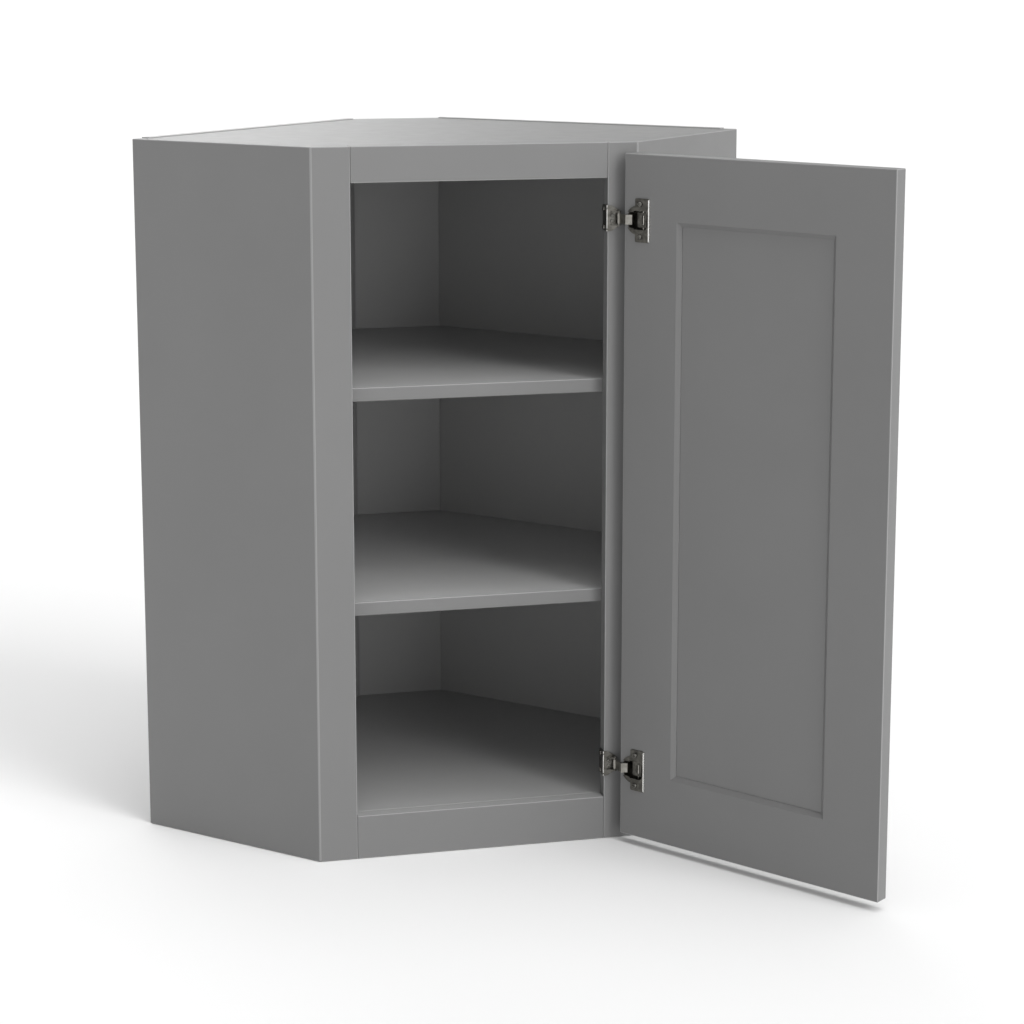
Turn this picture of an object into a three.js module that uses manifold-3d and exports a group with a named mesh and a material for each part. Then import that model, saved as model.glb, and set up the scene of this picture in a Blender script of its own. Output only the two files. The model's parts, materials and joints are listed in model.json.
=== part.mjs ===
// Diagonal corner wall cabinet with a face frame, two shelves and one framed door on two concealed hinges.
// Millimetres, +Z up. The origin is the centre of the bottom rail's underside. -Y is the front and +X the
// hinge side. The cabinet is drawn with its door wide open. Door pieces are drawn closed, inside a group
// that swings them open.
import * as THREE from "three";
import { mergeVertices } from "three/addons/utils/BufferGeometryUtils.js";
import Module from "manifold-3d";

// Carcass
const cabinetHeight = 914.4;
const frontWidth = 416;
const sideDepth = 280;
const sideThickness = 19;
const backThickness = 12;
const backProud = 1.2; // the back panels stand this far above the top panel
const cornerClip = 95; // length cut from each wall side of the back corner
const topThickness = 16;
const bottomThickness = 18;
const dadoDepth = 6; // how far the top and bottom panels go into the side panels

// Face frame
const frameThickness = 19;
const leftStileWidth = 49;
const rightStileWidth = 39;
const topRailHeight = 45;
const bottomRailHeight = 57;

// Shelves
const shelfThickness = 18;
const lowerShelfTop = 334;
const upperShelfTop = 611;
const shelfEndClearance = 1.5;
const shelfSetback = 2; // from the back of the face frame
const pinRadius = 2.5;
const pinCollarRadius = 3.5;
const pinCollarLength = 1.2;
const pinReach = 11; // length under the shelf
const pinDepth = 8; // length inside the panel
const frontPinDistance = 70; // from the front corner, along the side panel
const backPinDistance = 390; // from the back edge of the side panel, along the wall

// Door
const doorReveal = 12.7;
const doorGap = 3.6; // between the closed door and the face frame
const doorThickness = 19.5;
const doorStileWidth = 80; // flat face, without the bevel
const doorTopRailHeight = 82;
const doorBottomRailHeight = 88;
const bevelWidth = 5.4;
const bevelQuirk = 0.8; // the small step at the foot of the bevel
const doorPanelThickness = 9;
const grooveDepth = 10;
const panelEndClearance = 1.5;
const openAngle = 127; // degrees from closed

// Hinges
const upperHingeInset = 83; // from the door's top edge to the hinge centre
const lowerHingeInset = 90; // from the door's bottom edge to the hinge centre
const swingAxisInset = 1; // from the door's hinge edge to the door's swing axis
const swingAxisForward = 13; // from the frame's front face to the door's swing axis
const armPivotInset = 13; // from the frame's opening edge to the arm pin
const armPivotForward = 6; // from the frame's front face to the arm pin
const cupRadius = 17.3;
const cupWall = 0.9;
const cupDepth = 11.5;
const cupEdgeDistance = 21; // from the door's hinge edge to the cup's centre
const flangeThickness = 1.2;
const flangeStart = 17; // from the door's hinge edge
const flangeEnd = 38.8;
const flangeHalfHeight = 27.5;
const flangeLip = 1.2; // how far the flange's round part reaches past the cup
const mouthStart = 4.6; // from the door's hinge edge
const mouthNeckHalfHeight = 9.9;
const mouthHalfHeight = 11.8;
const mouthWidening = 13; // where the mouth starts to widen, from the door's hinge edge
const mouthWide = 16; // where it is at its widest
const cupScrewPitch = 41;
const cupScrewInset = 24.5; // from the door's hinge edge
const axleInset = 25.5; // from the door's hinge edge
const axleDepth = 5.5; // below the door's inner face
const axleRadius = 1.2;
const axleEndClearance = 0.9;
const plateThickness = 1.8;
const bracketHalfHeight = 16.5;
const bracketDepth = 17; // along the frame's opening edge
const bracketReach = 15; // over the frame's front face
const bracketTipHalfHeight = 10;
const cheekHalfHeight = 9.1;
const cheekThickness = 1.8;
const cheekRadius = 2.4; // around the arm pin
const cheekShoulder = 4.4; // how far the cheek stands out at its start
const cheekStart = 4; // from the frame's opening edge
const armHalfHeight = 6.2;
const armThickness = 1.5;
const knuckleRadius = 2.6;
const armPinRadius = 1.2;
const pinClearance = 0.08;
const kneeInset = 4.2; // where the arm bends, from the open door's hinge edge
const kneeRise = 3.8; // above the open door's inner face
const armTipInset = 10; // where the arm ends in the cup's mouth
const armTipDepth = 1.2; // below the open door's inner face
const armCurlRadius = 0.9; // the rounded end of the arm
const armPinOverhang = 0.6; // how far the arm pin stands out of each cheek
const bracketScrewPitch = 23;
const adjustingScrewPitch = 6.8;
const adjustingScrewInset = 5.6; // from the frame's opening edge

// Screws
const screwHeadRadius = 3.4;
const screwHeadHeight = 2;
const screwShankRadius = 1.7;
const screwLength = 14;
const adjusterHeadRadius = 2.7;
const adjusterHeadHeight = 1.1;
const adjusterLength = 9;
const screwPointRadius = 0.7; // at the tip of the shank
const headRimShare = 0.4; // of the head's height, before it narrows
const headCrownShare = 0.6; // of the head's radius, at its flat top

// Fits
const jointGap = 0.3;
const mitreGap = 0.1;
const seatGap = 0.1;
const boreClearance = 0.3;
const roundSegments = 20;
const cupSegments = 48;
const toolReach = 5; // how far a cutting tool reaches past what it cuts
const weldDistance = 1e-4;

// Derived places
const diagonal = Math.SQRT1_2;
const mitreSlope = Math.tan(Math.PI / 8);
const halfFront = frontWidth / 2;
const frontY = -frameThickness / 2;
const frameBackY = frameThickness / 2;
const wallLength = sideDepth + frontWidth * diagonal;
const leftOpeningX = leftStileWidth - halfFront;
const rightOpeningX = halfFront - rightStileWidth;
const bottomPanelTop = bottomRailHeight;
const hingeEdgeX = halfFront - doorReveal;
const freeEdgeX = -hingeEdgeX;
const doorBottom = doorReveal;
const doorTop = cabinetHeight - doorReveal;
const doorInnerY = frontY - doorGap;
const doorOuterY = doorInnerY - doorThickness;
const swingAxis = [hingeEdgeX - swingAxisInset, frontY - swingAxisForward];
const armPivot = [rightOpeningX + armPivotInset, frontY - armPivotForward];
const hingeHeights = { upper: doorTop - upperHingeInset, lower: doorBottom + lowerHingeInset };
const stickingWidth = doorStileWidth + bevelWidth;

const wasm = await Module();
wasm.setup();

// Materials
function paint(lightness) {
  const colour = new THREE.Color().setRGB(lightness, lightness, lightness * 0.99, THREE.SRGBColorSpace);
  return new THREE.MeshStandardMaterial({ color: colour, roughness: 0.55, metalness: 0 });
}

function metal(red, green, blue, roughness) {
  const colour = new THREE.Color().setRGB(red, green, blue, THREE.SRGBColorSpace);
  return new THREE.MeshStandardMaterial({ color: colour, roughness, metalness: 1 });
}

const outerPaint = () => paint(0.56);
const innerPaint = () => paint(0.53);
const nickel = () => metal(0.62, 0.6, 0.56, 0.32);
const darkNickel = () => metal(0.4, 0.39, 0.36, 0.4);
const zinc = () => metal(0.68, 0.66, 0.62, 0.35);

// Solids
function toSolid(geometry) {
  const bare = geometry.clone();
  bare.deleteAttribute("normal");
  bare.deleteAttribute("uv");
  const merged = mergeVertices(bare, weldDistance);
  const vertProperties = new Float32Array(merged.getAttribute("position").array);
  const triVerts = new Uint32Array(merged.index.array);
  return new wasm.Manifold(new wasm.Mesh({ numProp: 3, vertProperties, triVerts }));
}

function toGeometry(solid) {
  const mesh = solid.getMesh();
  const geometry = new THREE.BufferGeometry();
  geometry.setAttribute("position", new THREE.BufferAttribute(new Float32Array(mesh.vertProperties), 3));
  geometry.setIndex(new THREE.BufferAttribute(new Uint32Array(mesh.triVerts), 1));
  const flat = geometry.toNonIndexed();
  flat.computeVertexNormals();
  return flat;
}

function cut(geometry, ...tools) {
  return toGeometry(tools.reduce((solid, tool) => solid.subtract(toSolid(tool)), toSolid(geometry)));
}

function join(...geometries) {
  return toGeometry(geometries.map(toSolid).reduce((solid, other) => solid.add(other)));
}

function extruded(outline, length) {
  const shape = new THREE.Shape(outline.map(([x, y]) => new THREE.Vector2(x, y)));
  return new THREE.ExtrudeGeometry(shape, { depth: length, bevelEnabled: false });
}

// An outline seen from above, raised from one height to another
function prism(outline, low, high) {
  return extruded(outline, high - low).translate(0, 0, low);
}

function block(low, high) {
  const size = high.map((value, i) => value - low[i]);
  const middle = high.map((value, i) => (value + low[i]) / 2);
  return new THREE.BoxGeometry(...size).translate(...middle);
}

// A round solid on +Z from its profile of [radius, height] points
function turned(profile, segments = roundSegments) {
  const points = profile.map(([radius, height]) => new THREE.Vector2(radius, height));
  return new THREE.LatheGeometry(points, segments).rotateX(Math.PI / 2);
}

function rod(radius, low, high, segments = roundSegments) {
  return turned([[0, low], [radius, low], [radius, high], [0, high]], segments);
}

// Turns a solid on +Z to lie along a direction, and moves its zero to a point
function aimed(geometry, direction, place) {
  const towards = new THREE.Vector3(...direction).normalize();
  const turn = new THREE.Quaternion().setFromUnitVectors(new THREE.Vector3(0, 0, 1), towards);
  return geometry.applyQuaternion(turn).translate(...place);
}

const mirrored = (outline) => outline.map(([x, y]) => [-x, y]).reverse();
const circled = ([x, y], radius, low, high) => rod(radius, low, high).translate(x, y, 0);

// Plan of the carcass: points on the right-hand side panel and on the right-hand wall, at a distance along
// them and a depth inside their outer faces
function sidePoint(distance, depth) {
  return [halfFront + (distance - depth) * diagonal, frontY + (distance + depth) * diagonal];
}

function wallPoint(distance, depth) {
  const [x, y] = sidePoint(sideDepth, 0);
  return [x - (distance + depth) * diagonal, y + (distance - depth) * diagonal];
}

// The outline inside the carcass, at a depth from the side panels' and the walls' outer faces
function floorOutline(sideInset, wallInset, front) {
  const distance = (front - frontY) / diagonal - sideInset;
  const clipDistance = wallLength - cornerClip - wallInset * mitreSlope;
  const right = [
    sidePoint(distance, sideInset),
    sidePoint(sideDepth - wallInset, sideInset),
    wallPoint(clipDistance, wallInset),
  ];
  return [...right, ...mirrored(right)];
}

const cabinet = new THREE.Group();
cabinet.name = "corner_wall_cabinet";

function piece(parent, name, geometry, material) {
  const mesh = new THREE.Mesh(geometry, material);
  mesh.name = name;
  parent.add(mesh);
  return mesh;
}

// Carcass
const dadoOutline = floorOutline(sideThickness - dadoDepth, backThickness + jointGap, frameBackY + jointGap);
const topUnderside = cabinetHeight - topThickness;
const bottomUnderside = bottomPanelTop - bottomThickness;

function dadoTool(low, high) {
  const outline = floorOutline(sideThickness - dadoDepth - jointGap, backThickness, frameBackY);
  return prism(outline, low - jointGap, high + jointGap);
}

function pinHole(place, direction) {
  const hole = rod(pinRadius + boreClearance, -jointGap, pinDepth + boreClearance);
  return aimed(hole, direction.map((value) => -value), place);
}

// Where a shelf's pins stand, and which way they point, on the right-hand side; the left mirrors them
function pinSeats(shelfTop) {
  const height = shelfTop - shelfThickness - pinRadius - seatGap;
  const front = sidePoint(frontPinDistance, sideThickness);
  const back = wallPoint(backPinDistance, backThickness);
  return {
    front: { place: [...front, height], direction: [-diagonal, diagonal, 0] },
    back: { place: [...back, height], direction: [-diagonal, -diagonal, 0] },
  };
}

function mirroredSeat({ place, direction }) {
  return {
    place: [-place[0], place[1], place[2]],
    direction: [-direction[0], direction[1], direction[2]],
  };
}

const shelfTops = { lower: lowerShelfTop, upper: upperShelfTop };

function panelHoles(where, mirror) {
  return Object.values(shelfTops).map((shelfTop) => {
    const seat = pinSeats(shelfTop)[where];
    const used = mirror ? mirroredSeat(seat) : seat;
    return pinHole(used.place, used.direction);
  });
}

function addSides() {
  const mitreStart = mitreGap;
  const outline = [
    sidePoint(mitreStart, 0),
    sidePoint(sideDepth, 0),
    sidePoint(sideDepth, sideThickness),
    sidePoint(mitreStart + sideThickness * mitreSlope, sideThickness),
  ];
  const dados = [dadoTool(topUnderside, cabinetHeight), dadoTool(bottomUnderside, bottomPanelTop)];
  const right = prism(outline, 0, cabinetHeight);
  const left = prism(mirrored(outline), 0, cabinetHeight);
  piece(cabinet, "right_side_panel", cut(right, ...dados, ...panelHoles("front", false)), outerPaint());
  piece(cabinet, "left_side_panel", cut(left, ...dados, ...panelHoles("front", true)), outerPaint());
}

function addBacks() {
  const start = sideThickness + jointGap;
  const end = wallLength - cornerClip - mitreGap;
  const outline = [
    wallPoint(start, 0),
    wallPoint(end, 0),
    wallPoint(end - backThickness * mitreSlope, backThickness),
    wallPoint(start, backThickness),
  ];
  const high = cabinetHeight + backProud;
  const right = prism(outline, 0, high);
  const left = prism(mirrored(outline), 0, high);
  piece(cabinet, "right_back_panel", cut(right, ...panelHoles("back", false)), innerPaint());
  piece(cabinet, "left_back_panel", cut(left, ...panelHoles("back", true)), innerPaint());
  const clipEnd = wallPoint(wallLength - cornerClip, 0);
  const half = clipEnd[0] - mitreGap;
  const innerHalf = half - backThickness * mitreSlope;
  const cornerOutline = [
    [innerHalf, clipEnd[1] - backThickness],
    [half, clipEnd[1]],
    [-half, clipEnd[1]],
    [-innerHalf, clipEnd[1] - backThickness],
  ];
  piece(cabinet, "corner_back_panel", prism(cornerOutline, 0, cabinetHeight), innerPaint());
}

function addFloors() {
  piece(cabinet, "top_panel", prism(dadoOutline, topUnderside, cabinetHeight), outerPaint());
  piece(cabinet, "bottom_panel", prism(dadoOutline, bottomUnderside, bottomPanelTop), innerPaint());
}

function addShelves() {
  const sideInset = sideThickness + shelfEndClearance;
  const wallInset = backThickness + shelfEndClearance;
  const outline = floorOutline(sideInset, wallInset, frameBackY + shelfSetback);
  for (const [level, shelfTop] of Object.entries(shelfTops)) {
    piece(cabinet, `${level}_shelf`, prism(outline, shelfTop - shelfThickness, shelfTop), innerPaint());
    addPins(level, shelfTop);
  }
}

// A pin is a rod with a collar that rests on the panel's inner face
function shelfPin() {
  return turned([
    [0, -pinDepth],
    [pinRadius, -pinDepth],
    [pinRadius, seatGap],
    [pinCollarRadius, seatGap],
    [pinCollarRadius, seatGap + pinCollarLength],
    [pinRadius, seatGap + pinCollarLength],
    [pinRadius, pinReach],
    [0, pinReach],
  ]);
}

function addPins(level, shelfTop) {
  for (const [where, seat] of Object.entries(pinSeats(shelfTop))) {
    const seats = { right: seat, left: mirroredSeat(seat) };
    for (const [hand, { place, direction }] of Object.entries(seats)) {
      const pin = aimed(shelfPin(), direction, place);
      piece(cabinet, `${level}_shelf_pin_${hand}_${where}`, pin, zinc());
    }
  }
}

// Face frame
function addFaceFrame() {
  const outer = halfFront - mitreGap;
  const back = outer - frameThickness * mitreSlope;
  const stile = (edge) => [[edge, frontY], [outer, frontY], [back, frameBackY], [edge, frameBackY]];
  const right = stile(rightOpeningX);
  const left = mirrored(stile(-leftOpeningX));
  const holes = Object.values(hingeHeights).flatMap(frameScrewHoles);
  piece(cabinet, "frame_right_stile", cut(prism(right, 0, cabinetHeight), ...holes), outerPaint());
  piece(cabinet, "frame_left_stile", prism(left, 0, cabinetHeight), outerPaint());
  const railStart = leftOpeningX + mitreGap;
  const railEnd = rightOpeningX - mitreGap;
  const topLow = cabinetHeight - topRailHeight;
  const topRail = block([railStart, frontY, topLow], [railEnd, frameBackY, cabinetHeight]);
  const bottomRail = block([railStart, frontY, 0], [railEnd, frameBackY, bottomRailHeight]);
  piece(cabinet, "frame_top_rail", topRail, outerPaint());
  piece(cabinet, "frame_bottom_rail", bottomRail, outerPaint());
}

// Screws are turned on +Z with the head's underside at zero and the shank below it
function screw(headRadius, headHeight, length) {
  return turned([
    [0, -length],
    [screwPointRadius, -length],
    [screwShankRadius, -length + screwShankRadius],
    [screwShankRadius, 0],
    [headRadius, 0],
    [headRadius, headHeight * headRimShare],
    [headRadius * headCrownShare, headHeight],
    [0, headHeight],
  ]);
}

function screwHole(direction, place, length) {
  const hole = rod(screwShankRadius + boreClearance, -length - boreClearance, screwHeadHeight);
  return aimed(hole, direction, place);
}

const bothEnds = [1, -1];
const endNames = { "1": "top", "-1": "bottom" };

function bracketScrewPlace(height, end) {
  const x = rightOpeningX - seatGap - plateThickness - seatGap;
  return [x, frontY + frameThickness / 2, height + (end * bracketScrewPitch) / 2];
}

function adjusterPlace(height, end) {
  const y = frontY - seatGap - plateThickness - seatGap;
  return [rightOpeningX + adjustingScrewInset, y, height + (end * adjustingScrewPitch) / 2];
}

const intoOpening = [-1, 0, 0];
const forward = [0, -1, 0];

function frameScrewHoles(height) {
  const edge = bothEnds.map((end) => screwHole(intoOpening, bracketScrewPlace(height, end), screwLength));
  const face = bothEnds.map((end) => screwHole(forward, adjusterPlace(height, end), adjusterLength));
  return [...edge, ...face];
}

// Door: a bar with the bevelled and grooved inner edge, across the width on +X, through the thickness on +Y
// and along its length on +Z. Its profile is the same from both faces. grow makes the tool that copes the
// rails.
const recess = (doorThickness - doorPanelThickness) / 2;
const bevelSlope = (recess - jointGap - bevelQuirk) / bevelWidth;

function stickingBar(faceWidth, length, grow = 0) {
  const shift = grow / Math.sin(Math.atan(bevelSlope));
  const face = faceWidth + shift - grow / bevelSlope;
  const foot = faceWidth + bevelWidth + grow;
  const lip = recess - jointGap + grow;
  const half = [
    [-grow, -grow],
    [face, -grow],
    [foot, (foot - faceWidth - shift) * bevelSlope],
    [foot, lip],
    [foot - grooveDepth, lip],
  ];
  const otherHalf = half.map(([x, y]) => [x, doorThickness - y]).reverse();
  return extruded([...half, ...otherHalf], length);
}

function hingeStile(grow = 0) {
  const bar = stickingBar(doorStileWidth, doorTop - doorBottom, grow);
  return bar.rotateZ(Math.PI).translate(hingeEdgeX, doorInnerY, doorBottom);
}

function freeStile(grow = 0) {
  const bar = stickingBar(doorStileWidth, doorTop - doorBottom, grow);
  return bar.translate(freeEdgeX, doorOuterY, doorBottom);
}

const railInset = stickingWidth - grooveDepth + jointGap;
const railLength = hingeEdgeX - freeEdgeX - 2 * railInset;

function bottomRail() {
  const bar = stickingBar(doorBottomRailHeight, railLength).rotateY(-Math.PI / 2);
  return bar.translate(hingeEdgeX - railInset, doorOuterY, doorBottom);
}

function topRail() {
  const bar = stickingBar(doorTopRailHeight, railLength).rotateY(Math.PI / 2);
  return bar.translate(freeEdgeX + railInset, doorOuterY, doorTop);
}

function doorPanel() {
  const inset = stickingWidth - grooveDepth + panelEndClearance;
  const low = doorBottom + doorBottomRailHeight + bevelWidth - grooveDepth + panelEndClearance;
  const high = doorTop - doorTopRailHeight - bevelWidth + grooveDepth - panelEndClearance;
  const y = doorInnerY - recess;
  return block([freeEdgeX + inset, y - doorPanelThickness, low], [hingeEdgeX - inset, y, high]);
}

const openTurn = THREE.MathUtils.degToRad(openAngle);
const doorSwing = new THREE.Group();
doorSwing.position.set(...swingAxis, 0);
doorSwing.rotation.z = openTurn;
const door = new THREE.Group();
door.position.set(-swingAxis[0], -swingAxis[1], 0);
doorSwing.add(door);
cabinet.add(doorSwing);

const intoDoor = [0, 1, 0]; // door screws have their heads towards the cabinet
const cupX = hingeEdgeX - cupEdgeDistance;
const flangeY = doorInnerY + seatGap;

function cupScrewPlace(height, end) {
  const y = flangeY + flangeThickness + seatGap;
  return [hingeEdgeX - cupScrewInset, y, height + (end * cupScrewPitch) / 2];
}

function cupBores(height) {
  const bore = rod(cupRadius + boreClearance, -toolReach, cupDepth + boreClearance, cupSegments);
  const cup = aimed(bore, forward, [cupX, doorInnerY, height]);
  const screws = bothEnds.map((end) => screwHole(intoDoor, cupScrewPlace(height, end), screwLength));
  return [cup, ...screws];
}

function addDoor() {
  const bores = Object.values(hingeHeights).flatMap(cupBores);
  const stileTools = () => [hingeStile(jointGap), freeStile(jointGap)];
  piece(door, "door_hinge_stile", cut(hingeStile(), ...bores), outerPaint());
  piece(door, "door_free_stile", freeStile(), outerPaint());
  piece(door, "door_top_rail", cut(topRail(), ...stileTools()), outerPaint());
  piece(door, "door_bottom_rail", cut(bottomRail(), ...stileTools()), outerPaint());
  piece(door, "door_panel", doorPanel(), outerPaint());
}

// Hinge pieces on the face frame
function bracket(height) {
  const x = rightOpeningX - seatGap;
  const y = frontY - seatGap;
  const tip = rightOpeningX + bracketReach;
  const edgePlate = block(
    [x - plateThickness, y - plateThickness, height - bracketHalfHeight],
    [x, frontY + bracketDepth, height + bracketHalfHeight],
  );
  const shoulder = rightOpeningX + cheekStart;
  const frontOutline = [
    [x - plateThickness, -bracketHalfHeight],
    [shoulder, -bracketHalfHeight],
    [tip, -bracketTipHalfHeight],
    [tip, bracketTipHalfHeight],
    [shoulder, bracketHalfHeight],
    [x - plateThickness, bracketHalfHeight],
  ];
  const frontPlate = extruded(frontOutline, plateThickness).rotateX(Math.PI / 2).translate(0, y, height);
  const [pinX, pinY] = armPivot;
  const boreReach = cheekHalfHeight + toolReach;
  const cheekOutline = [
    [shoulder, y],
    [shoulder, y - cheekShoulder],
    [pinX, pinY - cheekRadius],
    [pinX + cheekRadius, pinY],
    [pinX + cheekRadius, y],
  ];
  const cheeks = bothEnds.flatMap((end) => {
    const low = end > 0 ? height + cheekHalfHeight - cheekThickness : height - cheekHalfHeight;
    const high = low + cheekThickness;
    return [prism(cheekOutline.slice().reverse(), low, high), circled(armPivot, cheekRadius, low, high)];
  });
  const pinBore = circled(armPivot, armPinRadius + pinClearance, height - boreReach, height + boreReach);
  const screws = bothEnds.map((end) => screwHole(intoOpening, bracketScrewPlace(height, end), screwLength));
  const adjusters = bothEnds.map((end) => screwHole(forward, adjusterPlace(height, end), adjusterLength));
  return cut(join(edgePlate, frontPlate, ...cheeks), pinBore, ...screws, ...adjusters);
}

// A point of the open door, at a distance from its hinge edge and a depth below its inner face
function openDoorPoint(inset, depth) {
  const closed = new THREE.Vector2(hingeEdgeX - inset, doorInnerY - depth);
  return closed.rotateAround(new THREE.Vector2(...swingAxis), openTurn).toArray();
}

// A strip of constant thickness along three points, seen from above
function bentStrip(points, thickness) {
  const [start, knee, end] = points.map(([x, y]) => new THREE.Vector2(x, y));
  const first = knee.clone().sub(start).normalize();
  const second = end.clone().sub(knee).normalize();
  const side = (v) => new THREE.Vector2(-v.y, v.x);
  const mitre = side(first).add(side(second)).normalize();
  const mitreLength = thickness / 2 / mitre.dot(side(first));
  const offsets = [
    [start, side(first).multiplyScalar(thickness / 2)],
    [knee, mitre.multiplyScalar(mitreLength)],
    [end, side(second).multiplyScalar(thickness / 2)],
  ];
  const near = offsets.map(([point, offset]) => point.clone().sub(offset).toArray());
  const far = offsets.map(([point, offset]) => point.clone().add(offset).toArray());
  return [...near, ...far.reverse()];
}

function hingeArm(height) {
  const low = height - armHalfHeight;
  const high = height + armHalfHeight;
  const knee = openDoorPoint(kneeInset, -kneeRise);
  const tip = openDoorPoint(armTipInset, armTipDepth);
  const strip = prism(bentStrip([armPivot, knee, tip], armThickness), low, high);
  const knuckle = circled(armPivot, knuckleRadius, low, high);
  const curl = circled(tip, armCurlRadius, low, high);
  const pinBore = circled(armPivot, armPinRadius + pinClearance, low - toolReach, high + toolReach);
  return cut(join(strip, knuckle, curl), pinBore);
}

function armPin(height) {
  const reach = cheekHalfHeight + armPinOverhang;
  return circled(armPivot, armPinRadius, height - reach, height + reach);
}

// Hinge pieces on the door, drawn closed. An outline's points are distances from the hinge edge and heights.
function onInnerFace(outline, low, high, height) {
  const placed = outline.map(([inset, z]) => [hingeEdgeX - inset, z]).reverse();
  const slab = extruded(placed, high - low).rotateX(Math.PI / 2);
  return slab.translate(0, doorInnerY + high, height);
}

function cupShell(height) {
  const rim = -seatGap - flangeThickness / 2;
  const profile = [
    [0, cupDepth - cupWall],
    [cupRadius - cupWall, cupDepth - cupWall],
    [cupRadius - cupWall, rim],
    [cupRadius, rim],
    [cupRadius, cupDepth],
    [0, cupDepth],
  ];
  return aimed(turned(profile, cupSegments), forward, [cupX, doorInnerY, height]);
}

function cupFlange(height) {
  const outline = [
    [flangeStart, -flangeHalfHeight],
    [flangeEnd, -flangeHalfHeight],
    [flangeEnd, flangeHalfHeight],
    [flangeStart, flangeHalfHeight],
  ];
  const wing = onInnerFace(outline, seatGap, seatGap + flangeThickness, height);
  const reach = cupRadius + flangeLip;
  const disc = aimed(rod(reach, 0, flangeThickness, cupSegments), intoDoor, [cupX, flangeY, height]);
  const pastEnd = block(
    [hingeEdgeX - flangeEnd - reach, flangeY - toolReach, height - reach],
    [hingeEdgeX - flangeEnd, flangeY + toolReach, height + reach],
  );
  return join(wing, cut(disc, pastEnd));
}

// The opening in the flange that the arm goes through
function cupMouth(height) {
  const end = cupEdgeDistance + cupRadius;
  const half = [
    [mouthStart, mouthNeckHalfHeight],
    [mouthWidening, mouthNeckHalfHeight],
    [mouthWide, mouthHalfHeight],
    [end, mouthHalfHeight],
  ];
  const otherHalf = half.map(([inset, z]) => [inset, -z]).reverse();
  const tool = onInnerFace([...half, ...otherHalf].reverse(), -toolReach, toolReach, height);
  const core = rod(cupRadius - cupWall, -toolReach, toolReach, cupSegments);
  return toGeometry(toSolid(tool).intersect(toSolid(aimed(core, forward, [cupX, doorInnerY, height]))));
}

// The rim is cut down to the door's face where the arm crosses it
function rimNotch(height) {
  return block(
    [hingeEdgeX - mouthWidening, doorInnerY, height - mouthNeckHalfHeight],
    [hingeEdgeX, doorInnerY + toolReach, height + mouthNeckHalfHeight],
  );
}

function hingeCup(height) {
  const screws = bothEnds.map((end) => screwHole(intoDoor, cupScrewPlace(height, end), screwLength));
  return cut(join(cupFlange(height), cupShell(height)), cupMouth(height), rimNotch(height), ...screws);
}

function cupAxle(height) {
  const chord = Math.sqrt((cupRadius - cupWall) ** 2 - (axleInset - cupEdgeDistance) ** 2);
  const span = chord - axleEndClearance;
  return circled([hingeEdgeX - axleInset, doorInnerY - axleDepth], axleRadius, height - span, height + span);
}

function addHinge(name, height) {
  piece(cabinet, `${name}_hinge_bracket`, bracket(height), nickel());
  piece(cabinet, `${name}_hinge_arm`, hingeArm(height), nickel());
  piece(cabinet, `${name}_hinge_arm_pin`, armPin(height), zinc());
  piece(door, `${name}_hinge_cup`, hingeCup(height), darkNickel());
  piece(door, `${name}_hinge_cup_axle`, cupAxle(height), zinc());
  for (const end of bothEnds) {
    const label = endNames[end];
    const wood = () => screw(screwHeadRadius, screwHeadHeight, screwLength);
    const adjuster = screw(adjusterHeadRadius, adjusterHeadHeight, adjusterLength);
    const edgeScrew = aimed(wood(), intoOpening, bracketScrewPlace(height, end));
    const faceScrew = aimed(adjuster, forward, adjusterPlace(height, end));
    const doorScrew = aimed(wood(), intoDoor, cupScrewPlace(height, end));
    piece(cabinet, `${name}_hinge_bracket_screw_${label}`, edgeScrew, zinc());
    piece(cabinet, `${name}_hinge_adjusting_screw_${label}`, faceScrew, zinc());
    piece(door, `${name}_hinge_cup_screw_${label}`, doorScrew, zinc());
  }
}

addSides();
addBacks();
addFloors();
addShelves();
addFaceFrame();
addDoor();
for (const [name, height] of Object.entries(hingeHeights)) addHinge(name, height);

export default cabinet;
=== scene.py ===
import json
import math
import bmesh
import bpy
from mathutils import Matrix, Vector


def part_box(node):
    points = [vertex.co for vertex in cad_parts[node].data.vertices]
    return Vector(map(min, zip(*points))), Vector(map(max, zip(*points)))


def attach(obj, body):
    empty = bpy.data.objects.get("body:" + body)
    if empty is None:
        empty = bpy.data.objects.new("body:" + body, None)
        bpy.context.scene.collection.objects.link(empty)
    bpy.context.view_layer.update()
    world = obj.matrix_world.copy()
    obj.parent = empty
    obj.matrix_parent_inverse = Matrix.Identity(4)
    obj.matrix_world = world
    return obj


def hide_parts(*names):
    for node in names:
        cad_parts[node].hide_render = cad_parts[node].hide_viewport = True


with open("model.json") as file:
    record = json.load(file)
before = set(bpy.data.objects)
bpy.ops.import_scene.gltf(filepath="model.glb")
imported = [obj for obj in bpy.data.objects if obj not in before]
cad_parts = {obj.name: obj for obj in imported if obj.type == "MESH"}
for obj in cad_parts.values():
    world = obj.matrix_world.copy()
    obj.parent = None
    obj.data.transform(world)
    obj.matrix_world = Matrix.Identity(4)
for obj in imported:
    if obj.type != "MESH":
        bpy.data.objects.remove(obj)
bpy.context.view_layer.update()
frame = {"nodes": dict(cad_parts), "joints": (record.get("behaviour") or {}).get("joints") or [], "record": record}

# A painted diagonal corner wall cabinet, drawn with its door wide open.
# Metres; -Y is the front and +X the hinge side.
nodes = frame["nodes"]
joints = {joint["name"]: joint for joint in frame["joints"]}
cos45 = math.sqrt(0.5)
sides = {"right": 1, "left": -1}
up = Vector((0, 0, 1))

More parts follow.
